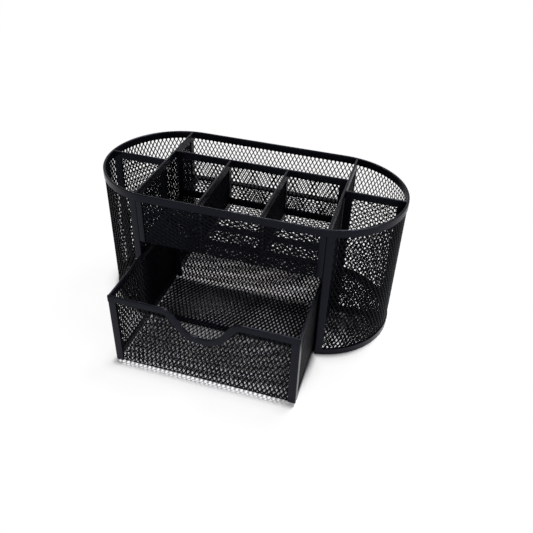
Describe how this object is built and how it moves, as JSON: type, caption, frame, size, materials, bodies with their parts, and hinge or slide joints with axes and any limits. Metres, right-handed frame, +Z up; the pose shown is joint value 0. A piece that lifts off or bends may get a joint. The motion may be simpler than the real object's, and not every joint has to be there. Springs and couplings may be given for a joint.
{
  "type": "pen stand with drawer",
  "caption": "Desk organizer of black expanded steel mesh: rounded ends, divided compartments open at the top and a pull-out drawer with a finger dip at the front.",
  "frame": {"origin": "centre of the body's footprint on the desk, at the underside of the base", "axes": "+X to the right along the long side, +Y to the back, +Z up; the drawer comes out along -Y"},
  "size_m": [0.22, 0.1565, 0.107],
  "materials": {
    "mesh_sheet": "black powder-coated expanded steel, satin",
    "edge_strip": "black powder-coated folded steel strip, satin"
  },
  "bodies": {
    "stand": {"back_mesh": "mesh_sheet", "base_band": "edge_strip", "base_mesh": "mesh_sheet", "floor_mesh": "mesh_sheet", "floor_rails": "edge_strip", "front_panel_mesh": "mesh_sheet", "front_sill": "edge_strip", "left_back_mesh": "mesh_sheet", "left_divider_mesh": "mesh_sheet", "left_divider_strips": "edge_strip", "left_end_divider_mesh": "mesh_sheet", "left_end_divider_strips": "edge_strip", "left_front_mesh": "mesh_sheet", "left_panel_strip": "edge_strip", "left_post": "edge_strip", "left_short_divider_mesh": "mesh_sheet", "left_short_divider_strips": "edge_strip", "long_divider_mesh": "mesh_sheet", "long_divider_strips": "edge_strip", "right_back_mesh": "mesh_sheet", "right_divider_mesh": "mesh_sheet", "right_divider_strips": "edge_strip", "right_end_divider_mesh": "mesh_sheet", "right_end_divider_strips": "edge_strip", "right_front_mesh": "mesh_sheet", "right_panel_strip": "edge_strip", "right_post": "edge_strip", "right_short_divider_mesh": "mesh_sheet", "right_short_divider_strips": "edge_strip", "top_rim": "edge_strip"},
    "drawer": {"drawer_back_left_corner": "edge_strip", "drawer_back_lip": "edge_strip", "drawer_back_mesh": "mesh_sheet", "drawer_back_right_corner": "edge_strip", "drawer_bottom_mesh": "mesh_sheet", "drawer_front_left_corner": "edge_strip", "drawer_front_lip": "edge_strip", "drawer_front_mesh": "mesh_sheet", "drawer_front_right_corner": "edge_strip", "drawer_left_bottom_strip": "edge_strip", "drawer_left_side_mesh": "mesh_sheet", "drawer_left_top_strip": "edge_strip", "drawer_right_bottom_strip": "edge_strip", "drawer_right_side_mesh": "mesh_sheet", "drawer_right_top_strip": "edge_strip"}
  },
  "joints": [
    {"name": "drawer_slide", "type": "slide", "parent": "stand", "child": "drawer", "axis": [0, -1, 0], "range_m": [-0.0505, 0.03]}
  ]
}
